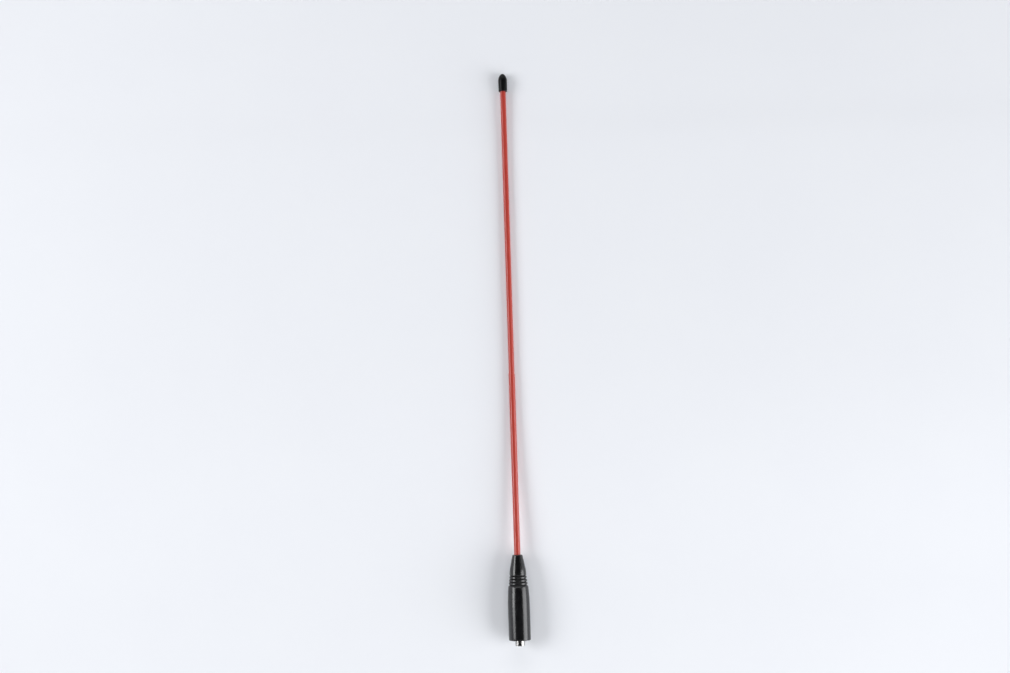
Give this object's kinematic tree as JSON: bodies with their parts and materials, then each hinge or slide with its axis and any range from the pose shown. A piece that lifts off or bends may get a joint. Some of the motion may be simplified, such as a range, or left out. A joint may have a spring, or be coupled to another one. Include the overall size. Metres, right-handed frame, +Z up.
{
  "type": "handheld radio antenna",
  "caption": "Flexible whip antenna for a handheld radio: a red jacketed wire on a black ringed base with a threaded coaxial stub, and a rubber tip cap.",
  "frame": {"origin": "on the antenna's axis, at the face of the base that seats on the radio", "axes": "+Y along the whip towards its tip, +Z up as it lies on a table, +X to the right of someone who looks along +Y"},
  "size_m": [0.0148, 0.39, 0.0148],
  "materials": {
    "base_plastic": "satin black moulding",
    "cap_rubber": "matt black rubber",
    "red_jacket": "satin red tube",
    "nickel_plate": "bright nickel plate over turned brass",
    "white_bush": "white fluoropolymer",
    "gold_plate": "thin gold plate",
    "turned_brass": "turned brass",
    "copper_wire": "enamelled copper wire",
    "former_plastic": "natural moulded plastic",
    "spring_steel": "drawn spring wire"
  },
  "bodies": {
    "root": {"base_sleeve": "base_plastic", "tip_cap": "cap_rubber", "whip_sheath": "red_jacket", "stiffener_sleeve": "red_jacket", "connector_body": "nickel_plate", "connector_insulator": "white_bush", "centre_contact": "gold_plate", "feed_stud": "turned_brass", "whip_ferrule": "turned_brass", "coil_former": "former_plastic", "loading_coil": "copper_wire", "whip_core": "spring_steel"}
  },
  "joints": []
}
